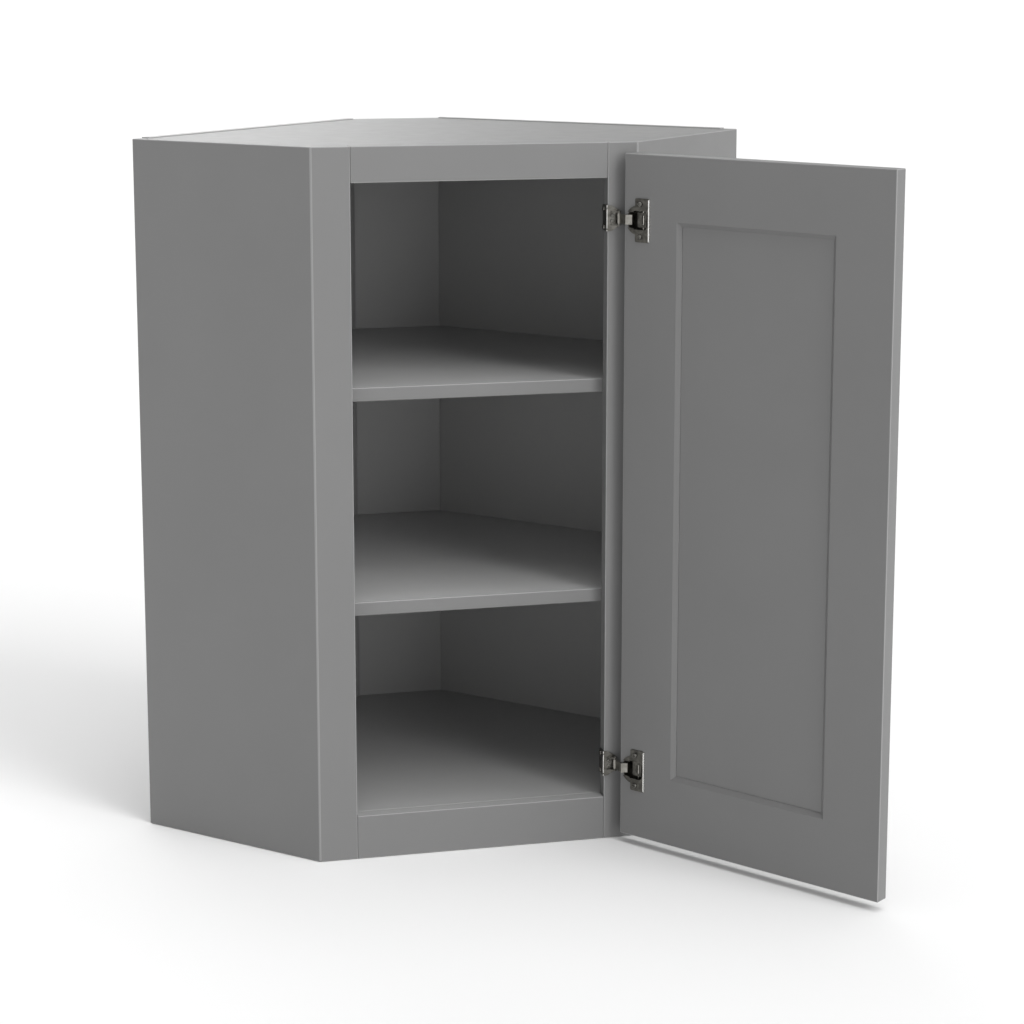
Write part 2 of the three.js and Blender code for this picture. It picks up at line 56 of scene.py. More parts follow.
# Plan of the cabinet, seen from above. Heights come from the frame's own nodes.
plan = {
    "halfFront": 0.208,
    "sideDepth": 0.280,
    "sideThickness": 0.019,
    "backThickness": 0.012,
    "cornerClip": 0.095,
    "dadoDepth": 0.006,
    "jointGap": 0.0001,
    "fitGap": 0.0003,
    "shelfGap": 0.0015,
    "spare": 0.02,  # what a later cut takes off, or what a tool reaches past the wood
}
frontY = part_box("frame_top_rail")[0].y
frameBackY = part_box("frame_top_rail")[1].y
onPlane = 1e-6  # how near a corner lies to a cutting plane to count as on it
onLine = 1e-5  # how near a corner lies to a line to be picked with it
wallLength = plan["sideDepth"] + 2 * plan["halfFront"] * cos45
mitreAngle = math.pi / 8


# how each piece is handled in edit mode
def deselectAll():
    if bpy.context.mode != "OBJECT":
        bpy.ops.object.mode_set(mode="OBJECT")
    bpy.ops.object.select_all(action="DESELECT")


def pick(piece):
    deselectAll()
    piece.select_set(True)
    bpy.context.view_layer.objects.active = piece


def openForEditing(piece):
    pick(piece)
    bpy.ops.object.mode_set(mode="EDIT")
    bpy.ops.mesh.select_mode(type="FACE")
    bpy.ops.mesh.select_all(action="SELECT")


def closeEditing():
    bpy.ops.object.mode_set(mode="OBJECT")


def settle(piece):
    pick(piece)
    bpy.ops.object.transform_apply(location=True, rotation=True, scale=True)
    return piece


def block(name, centre, size, turn=0.0):
    deselectAll()
    bpy.ops.mesh.primitive_cube_add(size=1, location=centre, rotation=(0, 0, turn), scale=size)
    piece = bpy.context.object
    piece.name = name
    return settle(piece)


def blockBetween(name, low, high):
    low, high = Vector(low), Vector(high)
    return block(name, (low + high) / 2, high - low)


def cylinder(name, centre, radius, length, towards, corners=48):
    deselectAll()
    turn = up.rotation_difference(Vector(towards)).to_euler()
    bpy.ops.mesh.primitive_cylinder_add(
        vertices=corners, radius=radius, depth=length, location=centre, rotation=turn
    )
    piece = bpy.context.object
    piece.name = name
    return settle(piece)


def copyOf(piece, name):
    pick(piece)
    bpy.ops.object.duplicate()
    twin = bpy.context.object
    twin.name = name
    return twin


def trim(piece, point, away):  # cuts off what lies past a plane
    openForEditing(piece)
    bpy.ops.mesh.bisect(plane_co=point, plane_no=away, use_fill=True, clear_outer=True, threshold=onPlane)
    closeEditing()


def score(piece, point, normal):  # draws a cut line all round without taking anything off
    openForEditing(piece)
    bpy.ops.mesh.bisect(plane_co=point, plane_no=normal, threshold=onPlane)
    closeEditing()


def selectFaces(piece, test):
    mesh = bmesh.from_edit_mesh(piece.data)
    for face in mesh.faces:
        face.select_set(False)
    for face in mesh.faces:
        if test(face):
            face.select_set(True)
    bmesh.update_edit_mesh(piece.data)


def selectEdges(piece, test):
    bpy.ops.mesh.select_mode(type="EDGE")
    mesh = bmesh.from_edit_mesh(piece.data)
    for edge in mesh.edges:
        edge.select_set(False)
    for edge in mesh.edges:
        if test(edge):
            edge.select_set(True)
    bmesh.update_edit_mesh(piece.data)


def isSharp(edge, least=30):
    return len(edge.link_faces) == 2 and edge.calc_face_angle() > math.radians(least)


def runsAlong(edge, axis):  # axis: 0, 1 or 2 for x, y or z
    start, end = (v.co[axis] for v in edge.verts)
    return abs(start - end) > 0.9 * edge.calc_length()


def roundEdges(piece, width, segments=3, test=lambda edge: True, least=30):
    openForEditing(piece)
    bpy.ops.mesh.remove_doubles(threshold=onPlane)
    selectEdges(piece, lambda edge: isSharp(edge, least) and test(edge))
    bpy.ops.mesh.bevel(offset=width, segments=segments, profile=0.5, affect="EDGES", clamp_overlap=True)
    closeEditing()


def weld(piece, nearness):  # joins the corners that cutting and rounding left almost on one another
    openForEditing(piece)
    bpy.ops.mesh.remove_doubles(threshold=nearness)
    closeEditing()


def carve(piece, tool, operation="DIFFERENCE"):
    pick(piece)
    cut = piece.modifiers.new("cut", "BOOLEAN")
    cut.operation = operation
    cut.solver = "EXACT"
    cut.object = tool
    bpy.ops.object.modifier_apply(modifier=cut.name)
    bpy.data.objects.remove(tool)
    return piece


smoothAngle = 33  # less than the slopes round the door's recess turn, so that they stay crisp


def smoothAndEven(piece):
    pick(piece)
    bpy.ops.object.shade_smooth_by_angle(angle=math.radians(smoothAngle))
    even = piece.modifiers.new("even", "WEIGHTED_NORMAL")
    even.keep_sharp = True
    bpy.ops.object.modifier_apply(modifier=even.name)


def finishPiece(piece, body, material, replaced):
    smoothAndEven(piece)
    settle(piece)
    piece.data.name = piece.name
    piece.data.materials.clear()
    piece.data.materials.append(material)
    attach(piece, body)
    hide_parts(*replaced)
    return piece


def addFinish(piece, material, test):  # gives the faces that pass the test a second finish
    piece.data.materials.append(material)
    for face in piece.data.polygons:
        if test(face):
            face.material_index = len(piece.data.materials) - 1


def isNarrow(piece, face, most):
    corners = [piece.data.vertices[index].co for index in face.vertices]
    longest = max((a - b).length for a, b in zip(corners, corners[1:] + corners[:1]))
    return face.area < most * longest


def paintEdgeHighlights(piece, test=lambda face: True):  # painted highlight: narrow faces of rounded edges get a lighter copy of the paint, standing in for the light they catch
    addFinish(piece, edgeHighlightPaint, lambda face: test(face) and isNarrow(piece, face, paint["edgeHighlightWidth"]))


def newMaterial(name):
    material = bpy.data.materials.new(name)
    material.use_nodes = True
    tree = material.node_tree
    shader = tree.nodes["Principled BSDF"]
    place = tree.nodes.new("ShaderNodeTexCoord").outputs["Object"]
    return material, tree, shader, place


def noise(tree, place, scale, detail=3.0, roughness=0.5):
    node = tree.nodes.new("ShaderNodeTexNoise")
    node.inputs["Scale"].default_value = scale
    node.inputs["Detail"].default_value = detail
    node.inputs["Roughness"].default_value = roughness
    tree.links.new(place, node.inputs["Vector"])
    return node.outputs["Fac"]


def stretched(tree, place, scale):
    node = tree.nodes.new("ShaderNodeMapping")
    node.inputs["Scale"].default_value = scale
    tree.links.new(place, node.inputs["Vector"])
    return node.outputs["Vector"]


noiseSpan = (0.3, 0.7)  # most of what a noise gives lies between these


def between(tree, value, low, high, fromLow=noiseSpan[0], fromHigh=noiseSpan[1]):
    node = tree.nodes.new("ShaderNodeMapRange")
    node.inputs["From Min"].default_value = fromLow
    node.inputs["From Max"].default_value = fromHigh
    node.inputs["To Min"].default_value = low
    node.inputs["To Max"].default_value = high
    tree.links.new(value, node.inputs["Value"])
    return node.outputs["Result"]


def tinted(tree, value, dark, light):
    ramp = tree.nodes.new("ShaderNodeValToRGB")
    for stop, position, colour in zip(ramp.color_ramp.elements, noiseSpan, (dark, light)):
        stop.position = position
        stop.color = (*colour, 1)
    tree.links.new(value, ramp.inputs["Fac"])
    return ramp.outputs["Color"]


def bumped(tree, shader, heights):  # heights: [(value, depth in metres)]
    normal = None
    for value, depth in heights:
        bump = tree.nodes.new("ShaderNodeBump")
        bump.inputs["Distance"].default_value = depth
        tree.links.new(value, bump.inputs["Height"])
        if normal:
            tree.links.new(normal, bump.inputs["Normal"])
        normal = bump.outputs["Normal"]
    tree.links.new(normal, shader.inputs["Normal"])


paint = {
    "grey": (0.171, 0.171, 0.1705),
    "shade": 0.02,
    "cloudScale": 7,
    # painted light: the inside and the shelves get lighter copies of the same paint, standing in for light that
    # reaches into the cabinet
    "innerPaintedLightFactor": 2.1,
    "shelfPaintedLightFactor": 2.6,
    # painted highlight on rounded edges: how much lighter their paint is, and how narrow a face must be to get it
    "edgeHighlightLightness": 1.6,
    "edgeHighlightWidth": 0.0009,
    "roughness": (0.385, 0.42),
    "shine": 0.5,
    "peelScale": 900,
    "peelDepth": 0.00001,
    "waveScale": 45,
    "waveDepth": 0.000002,
}


def makePaint(name, lightness=1.0):
    material, tree, shader, place = newMaterial(name)
    base = Vector(paint["grey"]) * lightness
    cloud = noise(tree, place, paint["cloudScale"], 4)
    dark, light = base * (1 - paint["shade"]), base * (1 + paint["shade"])
    tree.links.new(tinted(tree, cloud, dark, light), shader.inputs["Base Color"])
    peel = noise(tree, place, paint["peelScale"], 2)
    wave = noise(tree, place, paint["waveScale"], 3)
    tree.links.new(between(tree, wave, *paint["roughness"]), shader.inputs["Roughness"])
    bumped(tree, shader, [(wave, paint["waveDepth"]), (peel, paint["peelDepth"])])
    shader.inputs["Specular IOR Level"].default_value = paint["shine"]
    return material


plated = {
    "nickel": {"dark": (0.075, 0.072, 0.064), "light": (0.165, 0.16, 0.146), "roughness": (0.22, 0.36)},
    "brushed": {"dark": (0.23, 0.222, 0.2), "light": (0.36, 0.348, 0.32), "roughness": (0.28, 0.42)},
    "darkNickel": {"dark": (0.06, 0.058, 0.052), "light": (0.13, 0.125, 0.112), "roughness": (0.28, 0.42)},
    "zinc": {"dark": (0.34, 0.33, 0.30), "light": (0.58, 0.56, 0.52), "roughness": (0.25, 0.38)},
    "darkZinc": {"dark": (0.09, 0.088, 0.08), "light": (0.2, 0.195, 0.18), "roughness": (0.18, 0.3)},
    # painted highlight: near-white plating for hinge edges that catch the light
    "bright": {"dark": (0.82, 0.81, 0.78), "light": (0.94, 0.93, 0.9), "roughness": (0.22, 0.32)},
}
plating = {"cloudScale": 160, "grainDepth": 0.00001}


def makePlated(name, finish, brushed):
    material, tree, shader, place = newMaterial(name)
    grain = noise(tree, stretched(tree, place, brushed), 1.0, 4)
    cloud = noise(tree, place, plating["cloudScale"], 3)
    tree.links.new(tinted(tree, cloud, finish["dark"], finish["light"]), shader.inputs["Base Color"])
    tree.links.new(between(tree, grain, *finish["roughness"]), shader.inputs["Roughness"])
    bumped(tree, shader, [(grain, plating["grainDepth"])])
    shader.inputs["Metallic"].default_value = 1.0
    return material


outerPaint = makePaint("outerPaint")
# painted highlight: a lighter copy of the paint for rounded edges
edgeHighlightPaint = makePaint("edgeHighlightPaint", paint["edgeHighlightLightness"])
# painted light: lighter copies of the paint for the cabinet's inside and for the shelves
innerPaintedLight = makePaint("innerPaintedLight", paint["innerPaintedLightFactor"])
shelfPaintedLight = makePaint("shelfPaintedLight", paint["shelfPaintedLightFactor"])
nickel = makePlated("nickel", plated["nickel"], (400, 400, 6000))
darkNickel = makePlated("darkNickel", plated["darkNickel"], (700, 700, 5000))
brushedNickel = makePlated("brushedNickel", plated["brushed"], (500, 500, 9000))
zinc = makePlated("zinc", plated["zinc"], (900, 900, 900))
darkZinc = makePlated("darkZinc", plated["darkZinc"], (900, 900, 900))
# painted highlight: a near-white copy of the plating for hinge edges that catch the light
highlightMetal = makePlated("highlightMetal", plated["bright"], (900, 900, 900))
print("finishes made")


# plan helpers: a point on a side panel or on a wall, at a distance along it and a depth inside its outer face
def sidePoint(side, distance, depth):
    x = plan["halfFront"] + (distance - depth) * cos45
    return Vector((side * x, frontY + (distance + depth) * cos45, 0))


def wallPoint(side, distance, depth):
    x = plan["halfFront"] + (plan["sideDepth"] - distance - depth) * cos45
    return Vector((side * x, frontY + (plan["sideDepth"] + distance - depth) * cos45, 0))


def along(side):
    return Vector((side * cos45, cos45, 0))


def outward(side):
    return Vector((side * cos45, -cos45, 0))


# face frame stiles and side panels, folded from one stock so that the front corner is one soft edge
corner = {"radius": 0.0016, "edge": 0.001}


def mitrePlane(side):
    normal = Vector((side * math.cos(mitreAngle), math.sin(mitreAngle), 0))
    return sidePoint(side, 0, 0), normal


def cornerStock(side, stile):
    low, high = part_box(stile)
    edge = low.x if side > 0 else high.x
    ends = sorted((edge, side * plan["halfFront"]))
    stock = blockBetween("stock", (ends[0], frontY, low.z), (ends[1], frameBackY, high.z))
    point, normal = mitrePlane(side)
    trim(stock, point, normal)
    openForEditing(stock)
    selectFaces(stock, lambda face: face.normal.dot(normal) > 0.99)
    run = along(side) * (plan["sideDepth"] + plan["spare"])
    bpy.ops.mesh.extrude_region_move(TRANSFORM_OT_translate={"value": run})
    closeEditing()
    trim(stock, sidePoint(side, plan["sideDepth"], 0), along(side))
    openForEditing(stock)
    cornerX = side * plan["halfFront"]
    atCorner = lambda v: abs(v.co.x - cornerX) < onLine and abs(v.co.y - frontY) < onLine
    selectEdges(stock, lambda edge: all(atCorner(v) for v in edge.verts))
    bpy.ops.mesh.bevel(offset=corner["radius"], segments=4, profile=0.5, affect="EDGES")
    closeEditing()
    return stock


def dadoCutter(side, low, high):
    start, end = -plan["spare"], plan["sideDepth"] - plan["backThickness"]
    floor = plan["sideThickness"] - plan["dadoDepth"] - plan["fitGap"]
    middle = sidePoint(side, (start + end) / 2, floor + plan["spare"] / 2)
    middle.z = (low + high) / 2
    turn = math.pi / 4 * side
    cutter = block("cutter", middle, (end - start, plan["spare"], high - low), turn)
    trim(cutter, (0, frameBackY, 0), (0, -1, 0))
    return cutter


def makeCorner(sideName, side):
    stileName, panelName = f"frame_{sideName}_stile", f"{sideName}_side_panel"
    stock = cornerStock(side, stileName)
    point, normal = mitrePlane(side)
    gap = plan["jointGap"]
    stile = copyOf(stock, f"{sideName}Stile")
    panel = copyOf(stock, f"{sideName}SidePanel")
    bpy.data.objects.remove(stock)
    trim(stile, point - normal * gap, normal)
    trim(panel, point + normal * gap, -normal)
    topLow, topHigh = (end.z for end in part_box("top_panel"))
    bottomLow, bottomHigh = (end.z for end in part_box("bottom_panel"))
    offMitre = lambda edge: not all(abs((v.co - point).dot(normal)) < 3 * gap for v in edge.verts)
    for piece in (stile, panel):
        roundEdges(piece, corner["edge"], 3, offMitre)
    carve(panel, dadoCutter(side, topLow - plan["fitGap"], topHigh + plan["spare"]))
    carve(panel, dadoCutter(side, bottomLow - plan["fitGap"], bottomHigh + plan["fitGap"]))
    finishPiece(stile, "cabinet", outerPaint, [stileName])
    finishPiece(panel, "cabinet", outerPaint, [panelName])
    # painted highlights along the rounded edges
    paintEdgeHighlights(stile)
    paintEdgeHighlights(panel)


for sideName, side in sides.items():
    makeCorner(sideName, side)
print("stiles and side panels made")


# face frame rails
rails = {"edge": 0.001}
for name in ("top", "bottom"):
    rail = blockBetween(f"{name}Rail", *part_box(f"frame_{name}_rail"))
    roundEdges(rail, rails["edge"])
    finishPiece(rail, "cabinet", outerPaint, [f"frame_{name}_rail"])
    # painted highlights along the rail's rounded edges
    paintEdgeHighlights(rail, lambda face: abs(face.normal.x) < 0.2)
    if name == "bottom":
        # painted light: the bottom rail's top face takes the lighter inside copy of the paint
        addFinish(rail, innerPaintedLight, lambda face: face.normal.z > 0.99)
print("rails made")


# back panels: two walls, mitred against the clipped corner
backs = {"edge": 0.0004}


def makeWall(sideName, side):
    node = f"{sideName}_back_panel"
    low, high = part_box(node)
    start = plan["sideThickness"] + plan["fitGap"]
    end = wallLength - plan["cornerClip"] + plan["spare"]
    middle = wallPoint(side, (start + end) / 2, plan["backThickness"] / 2)
    middle.z = (low.z + high.z) / 2
    size = (plan["backThickness"], end - start, high.z - low.z)
    wall = block(f"{sideName}BackPanel", middle, size, math.pi / 4 * side)
    cornerPoint = wallPoint(side, wallLength - plan["cornerClip"] - plan["jointGap"], 0)
    trim(wall, cornerPoint, Vector((-side * math.cos(mitreAngle), math.sin(mitreAngle), 0)))
    roundEdges(wall, backs["edge"])
    # painted light: the back panels take the lighter inside copy of the paint
    finishPiece(wall, "cabinet", innerPaintedLight, [node])


def makeCornerPanel():
    low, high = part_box("corner_back_panel")
    panel = blockBetween("cornerBackPanel", low, high)
    for side in sides.values():
        outerEnd = Vector((side * high.x, high.y, 0))
        trim(panel, outerEnd, Vector((side * math.cos(mitreAngle), -math.sin(mitreAngle), 0)))
    roundEdges(panel, backs["edge"])
    # painted light: the lighter inside copy of the paint
    finishPiece(panel, "cabinet", innerPaintedLight, ["corner_back_panel"])


for sideName, side in sides.items():
    makeWall(sideName, side)
makeCornerPanel()
print("back panels made")


# top, bottom and shelves: boards with five cut corners
# painted light: the bottom panel and the shelves take lighter copies of the paint
boards = {
    "top_panel": {"name": "topPanel", "edge": 0.0004, "paint": outerPaint, "slot": "outer_paint"},
    "bottom_panel": {"name": "bottomPanel", "edge": 0.0004, "paint": innerPaintedLight, "slot": "inner_paint"},
    "upper_shelf": {"name": "upperShelf", "edge": 0.0014, "paint": shelfPaintedLight, "slot": "inner_paint"},
    "lower_shelf": {"name": "lowerShelf", "edge": 0.0014, "paint": shelfPaintedLight, "slot": "inner_paint"},
}


def makeBoard(node, board):
    low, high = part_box(node)
    piece = blockBetween(board["name"], low, high)
    isShelf = node.endswith("shelf")
    sideInset = plan["sideThickness"] + (plan["shelfGap"] if isShelf else -plan["dadoDepth"])
    wallInset = plan["backThickness"] + (plan["shelfGap"] if isShelf else plan["fitGap"])
    for side in sides.values():
        trim(piece, sidePoint(side, 0, sideInset), outward(side))
        trim(piece, wallPoint(side, 0, wallInset), along(side))
    roundEdges(piece, board["edge"])
    finishPiece(piece, "cabinet", board["paint"], [node])
    if isShelf:
        frontEdge = low.y + 1.5 * board["edge"]
        atFront = lambda face: face.center.y < frontEdge and face.normal.y < -0.2
        # the shelf's front edge keeps the plain paint, without the painted light of the shelf
        addFinish(piece, outerPaint, atFront)
        # painted highlight along the shelf's rounded front top edge
        addFinish(piece, edgeHighlightPaint, lambda face: atFront(face) and face.normal.z > 0.2)


for node, board in boards.items():
    makeBoard(node, board)
print("top, bottom and shelves made")


# door, built closed and then swung open about its joint
door = {
    "hingeEdge": 0.1953,
    "inner": -0.0131,
    "thickness": 0.0195,
    "stile": 0.080,
    "topRail": 0.082,
    "bottomRail": 0.088,
    "bevel": 0.0054,
    "bevelDepth": 0.00415,
    "quirk": 0.0008,
    "panel": 0.009,
    "groove": 0.010,
    "panelPlay": 0.0006,
    "panelShort": 0.0015,
    "panelEdge": 0.0006,
    "angle": 127,
    "edge": 0.0011,
}
swing = joints["door_swing"]
swingPoint = Vector(swing["pos_m"])
doorLow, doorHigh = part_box("door_hinge_stile")[0].z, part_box("door_hinge_stile")[1].z
doorOuter = door["inner"] - door["thickness"]


def swingOpen(piece):
    pick(piece)
    bpy.ops.transform.rotate(
        value=-math.radians(door["angle"]),
        orient_axis="Z",
        center_override=(swingPoint.x, swingPoint.y, 0),
    )
    return settle(piece)


def makeDoorFrame():
    edge = door["hingeEdge"]
    piece = blockBetween("doorFrame", (-edge, doorOuter, doorLow), (edge, door["inner"], doorHigh))
    lines = {
        "x": (-edge + door["stile"], edge - door["stile"]),
        "z": (doorLow + door["bottomRail"], doorHigh - door["topRail"]),
    }
    for x in lines["x"]:
        score(piece, (x, 0, 0), (1, 0, 0))
    for z in lines["z"]:
        score(piece, (0, 0, z), (0, 0, 1))
    inField = lambda c: lines["x"][0] < c.x < lines["x"][1] and lines["z"][0] < c.z < lines["z"][1]
    openForEditing(piece)
    for out in (1, -1):
        selectFaces(piece, lambda f: f.normal.y * out > 0.9 and inField(f.calc_center_median()))
        bpy.ops.mesh.inset(thickness=door["bevel"], depth=-door["bevelDepth"], use_even_offset=True)
        value = (0, -out * 3 * door["quirk"], 0)
        bpy.ops.mesh.extrude_region_move(TRANSFORM_OT_translate={"value": value})
    closeEditing()
    return piece


def fieldSize(grow):
    edge = door["hingeEdge"]
    inset = door["bevel"] - grow
    low = (-edge + door["stile"] + inset, doorLow + door["bottomRail"] + inset)
    high = (edge - door["stile"] - inset, doorHigh - door["topRail"] - inset)
    return low, high


def fieldBlock(name, grow, thickness):
    low, high = fieldSize(grow)
    middle = door["inner"] - door["thickness"] / 2
    back, front = middle - thickness / 2, middle + thickness / 2
    return blockBetween(name, (low[0], back, low[1]), (high[0], front, high[1]))


hinge = {
    "heights": {"upper": 0.8187, "lower": 0.1027},
    "cupRadius": 0.0173,
    "cupCentre": 0.021,
    "cupDepth": 0.0115,
    "boreGap": 0.0003,
}


def isOnDoorRim(edge):
    edgeX = door["hingeEdge"]
    onRim = lambda v: (
        abs(abs(v.co.x) - edgeX) < onLine or abs(v.co.z - doorLow) < onLine or abs(v.co.z - doorHigh) < onLine
    )
    return all(onRim(v) for v in edge.verts)


def makeDoor():
    piece = makeDoorFrame()
    carve(piece, fieldBlock("cutter", door["groove"], door["panel"] + door["panelPlay"]))
    roundEdges(piece, door["edge"], 3, isOnDoorRim)
    for height in hinge["heights"].values():
        radius = hinge["cupRadius"] + hinge["boreGap"]
        depth = hinge["cupDepth"] + hinge["boreGap"]
        centre = (door["hingeEdge"] - hinge["cupCentre"], door["inner"], height)
        carve(piece, cylinder("cutter", centre, radius, 2 * depth, (0, 1, 0), 64))
    swingOpen(piece)
    finishPiece(
        piece,
        "door",
        outerPaint,
        ["door_hinge_stile", "door_free_stile", "door_top_rail", "door_bottom_rail"],
    )
    # painted highlights along the door's rounded edges
    paintEdgeHighlights(piece)
    panel = fieldBlock("doorPanel", door["groove"] - door["panelShort"], door["panel"])
    roundEdges(panel, door["panelEdge"])
    swingOpen(panel)
    finishPiece(panel, "door", outerPaint, ["door_panel"])


makeDoor()
print("door made")

# hinges: the cup side is drawn closed and swung open with the door, the rest stands on the face frame
cup = {
    "centre": hinge["cupCentre"],
    "radius": hinge["cupRadius"],
    "wall": 0.0009,
    "depth": hinge["cupDepth"],
    "bottomRadius": 0.0012,
    "plateTop": -0.0013,
    "plateFoot": -0.0001,
    "plate": (0.017, 0.0388),
    "plateHalf": 0.0275,
    "discRadius": 0.0185,
    "discShort": 0.002,
    "corners": 72,
    "cornerRadius": 0.0017,
    "shoulderRadius": 0.0028,
    "lip": (0.0371, 0.0389),
    "lipDepths": (-0.0022, -0.0008),
    "lipInset": 0.001,
    "lipRadius": 0.0006,
    "mouth": (0.0046, 0.0362),
    "neckHalf": 0.0099,
    "widening": (0.013, 0.016),
    "mouthHalf": 0.0118,
    "mouthDepth": 0.005,
    "mouthCorner": 0.003,
    "box": (0.0166, 0.0308),
    "boxDepths": (0.0042, 0.0092),
    "boxHalf": 0.0096,
    "window": (0.0236, 0.0274),
    "windowHalf": 0.0056,
    "windowDepth": 0.0075,
    "boxEdge": 0.0005,
    "edge": 0.00022,
    "nearness": 0.00001,
    "screwInset": 0.0245,
    "screwPitch": 0.041,
    "axleInset": 0.0255,
    "axleDepth": 0.0055,
    "axleRadius": 0.0012,
    "axleHalf": 0.0148,
    "axleEdge": 0.0003,
}
upperHeight = hinge["heights"]["upper"]
dropToLower = hinge["heights"]["lower"] - upperHeight
isAlongY = lambda e: runsAlong(e, 1)


def doorPoint(inset, depth, height=0.0):
    return Vector((door["hingeEdge"] - inset, door["inner"] - depth, height))


def doorBlock(name, insets, depths, halfHeight, height=upperHeight):
    low = doorPoint(insets[1], depths[1], height - halfHeight)
    high = doorPoint(insets[0], depths[0], height + halfHeight)
    return blockBetween(name, low, high)


def cupPlate():
    depths = (cup["plateTop"], cup["plateFoot"])
    start, end = cup["plate"]
    plate = doorBlock("upperHingeCup", (start, end), depths, cup["plateHalf"])
    centre = doorPoint(cup["centre"], sum(depths) / 2, upperHeight)
    disc = cylinder("disc", centre, cup["discRadius"], depths[1] - depths[0], (0, 1, 0), cup["corners"])
    trim(disc, doorPoint(end - cup["discShort"], 0), (-1, 0, 0))
    carve(plate, disc, operation="UNION")
    atShoulder = lambda e: isAlongY(e) and not e.is_convex
    roundEdges(plate, cup["shoulderRadius"], 5, atShoulder, least=20)
    tips = (upperHeight - cup["plateHalf"], upperHeight + cup["plateHalf"])
    atCorner = lambda e: isAlongY(e) and any(abs(e.verts[0].co.z - tip) < onLine for tip in tips)
    roundEdges(plate, cup["cornerRadius"], 4, atCorner)
    lip = doorBlock("lip", cup["lip"], cup["lipDepths"], cup["plateHalf"] - cup["lipInset"])
    roundEdges(lip, cup["lipRadius"], 3)
    return carve(plate, lip, operation="UNION")


def cupShell():
    top = cup["plateTop"] / 2
    centre = doorPoint(cup["centre"], (top + cup["depth"]) / 2, upperHeight)
    shell = cylinder("shell", centre, cup["radius"], cup["depth"] - top, (0, 1, 0), cup["corners"])
    openForEditing(shell)
    selectFaces(shell, lambda f: f.normal.y > 0.9)
    bpy.ops.mesh.inset(thickness=cup["wall"], depth=0, use_even_offset=True)
    drop = (0, -(cup["depth"] - top - cup["wall"]), 0)
    bpy.ops.mesh.extrude_region_move(TRANSFORM_OT_translate={"value": drop})
    bottom = door["inner"] - cup["depth"]
    selectEdges(shell, lambda e: isSharp(e) and all(v.co.y < bottom + onLine for v in e.verts))
    bpy.ops.mesh.bevel(offset=cup["bottomRadius"], segments=4, profile=0.5, affect="EDGES")
    closeEditing()
    return shell


def cupMouth():
    depths = (-cup["mouthDepth"], cup["mouthDepth"])
    tool = doorBlock("mouth", (cup["widening"][0], cup["mouth"][1]), depths, cup["mouthHalf"])
    slope = (cup["mouthHalf"] - cup["neckHalf"]) / (cup["widening"][1] - cup["widening"][0])
    for end in (1, -1):
        start = doorPoint(cup["widening"][0], 0, upperHeight + end * cup["neckHalf"])
        trim(tool, start, Vector((slope, 0, end)))
    farCorners = lambda e: isAlongY(e) and e.verts[0].co.x < doorPoint(cup["centre"], 0).x
    roundEdges(tool, cup["mouthCorner"], 4, farCorners)
    neck = doorBlock("neck", (cup["mouth"][0], cup["widening"][1]), depths, cup["neckHalf"])
    carve(tool, neck, operation="UNION")
    centre = doorPoint(cup["centre"], 0, upperHeight)
    radius, length = cup["radius"] - cup["wall"], 4 * cup["mouthDepth"]
    core = cylinder("core", centre, radius, length, (0, 1, 0), cup["corners"])
    return carve(tool, core, operation="INTERSECT")


def makeCup():
    piece = cupPlate()
    carve(piece, cupShell(), operation="UNION")
    carve(piece, cupMouth())
    notch = (-cup["lipInset"], cup["widening"][0])
    carve(piece, doorBlock("notch", notch, (-cup["mouthDepth"], 0), cup["neckHalf"]))
    box = doorBlock("springBox", cup["box"], cup["boxDepths"], cup["boxHalf"])
    carve(box, doorBlock("window", cup["window"], (0, cup["windowDepth"]), cup["windowHalf"]))
    for end in (1, -1):
        centre = doorPoint(cup["screwInset"], 0, upperHeight + end * cup["screwPitch"] / 2)
        carve(piece, screwHole(centre, (0, 1, 0), 32))
    roundEdges(piece, cup["edge"], 2)
    weld(piece, cup["nearness"])
    roundEdges(box, cup["boxEdge"], 2)
    pick(piece)
    box.select_set(True)
    bpy.ops.object.join()
    return piece


def makeAxle():
    centre = doorPoint(cup["axleInset"], cup["axleDepth"], upperHeight)
    axle = cylinder("upperHingeCupAxle", centre, cup["axleRadius"], 2 * cup["axleHalf"], up, 28)
    roundEdges(axle, cup["axleEdge"], 2)
    return axle


# screws, drawn on +Z with the underside of the head at zero
screws = {
    "wood": {"head": 0.0034, "rise": 0.002, "shank": 0.0017, "length": 0.014, "crown": 0.0011},
    "adjuster": {"head": 0.0027, "rise": 0.0011, "shank": 0.0017, "length": 0.009, "crown": 0.0005},
    "point": 0.0017,
    "slotWidth": 0.0009,
    "slotReach": 0.0021,
    "slotDepth": 0.0009,
    "pointShare": 0.4,
    "hole": 0.002,
    "drillLength": 0.01,
}


def screwHole(centre, towards, corners=28):
    return cylinder("hole", centre, screws["hole"], screws["drillLength"], towards, corners)


